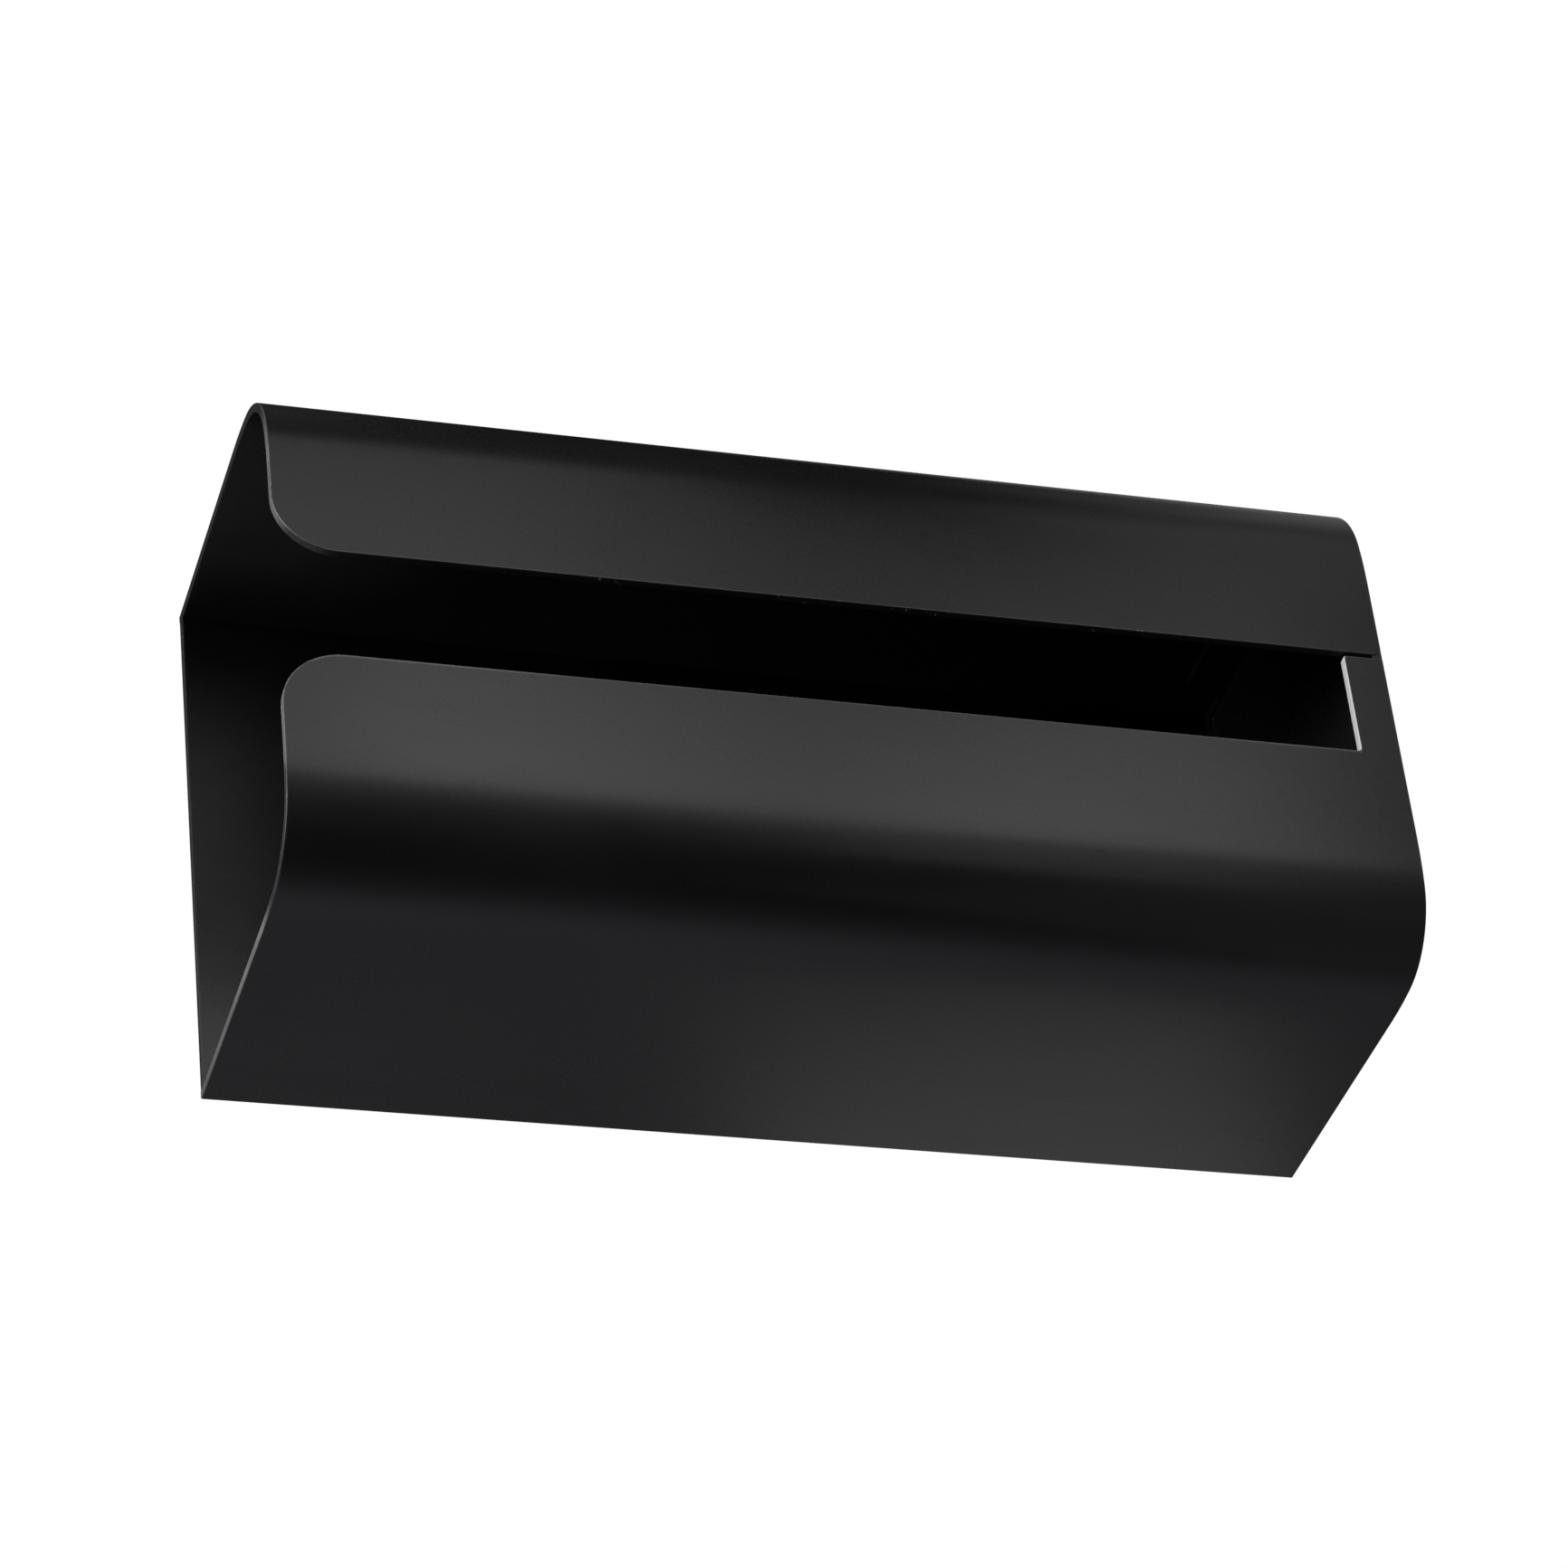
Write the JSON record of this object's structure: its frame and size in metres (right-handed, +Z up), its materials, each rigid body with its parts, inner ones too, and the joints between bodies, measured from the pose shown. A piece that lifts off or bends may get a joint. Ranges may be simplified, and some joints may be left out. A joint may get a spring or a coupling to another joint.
{
  "type": "napkin dispenser",
  "caption": "Bent sheet metal napkin dispenser for a wall or counter: long box with one open end for loading and a slot along its front face that runs out through the open end.",
  "frame": {"origin": "middle of the box's footprint, on the outer face of the bottom plate", "axes": "+X along the box from the open end to the closed end, -Y out of the slotted front face, +Y into the wall, +Z up"},
  "size_m": [0.242, 0.089, 0.126],
  "materials": {
    "black_coat_covers": "satin black powder coat on bent sheet, cut edges worn lighter",
    "black_coat_back": "satin black powder coat on flat sheet"
  },
  "bodies": {
    "root": {"upper_cover": "black_coat_covers", "lower_cover": "black_coat_covers", "back_plate": "black_coat_back", "end_wall": "black_coat_back"}
  },
  "joints": []
}
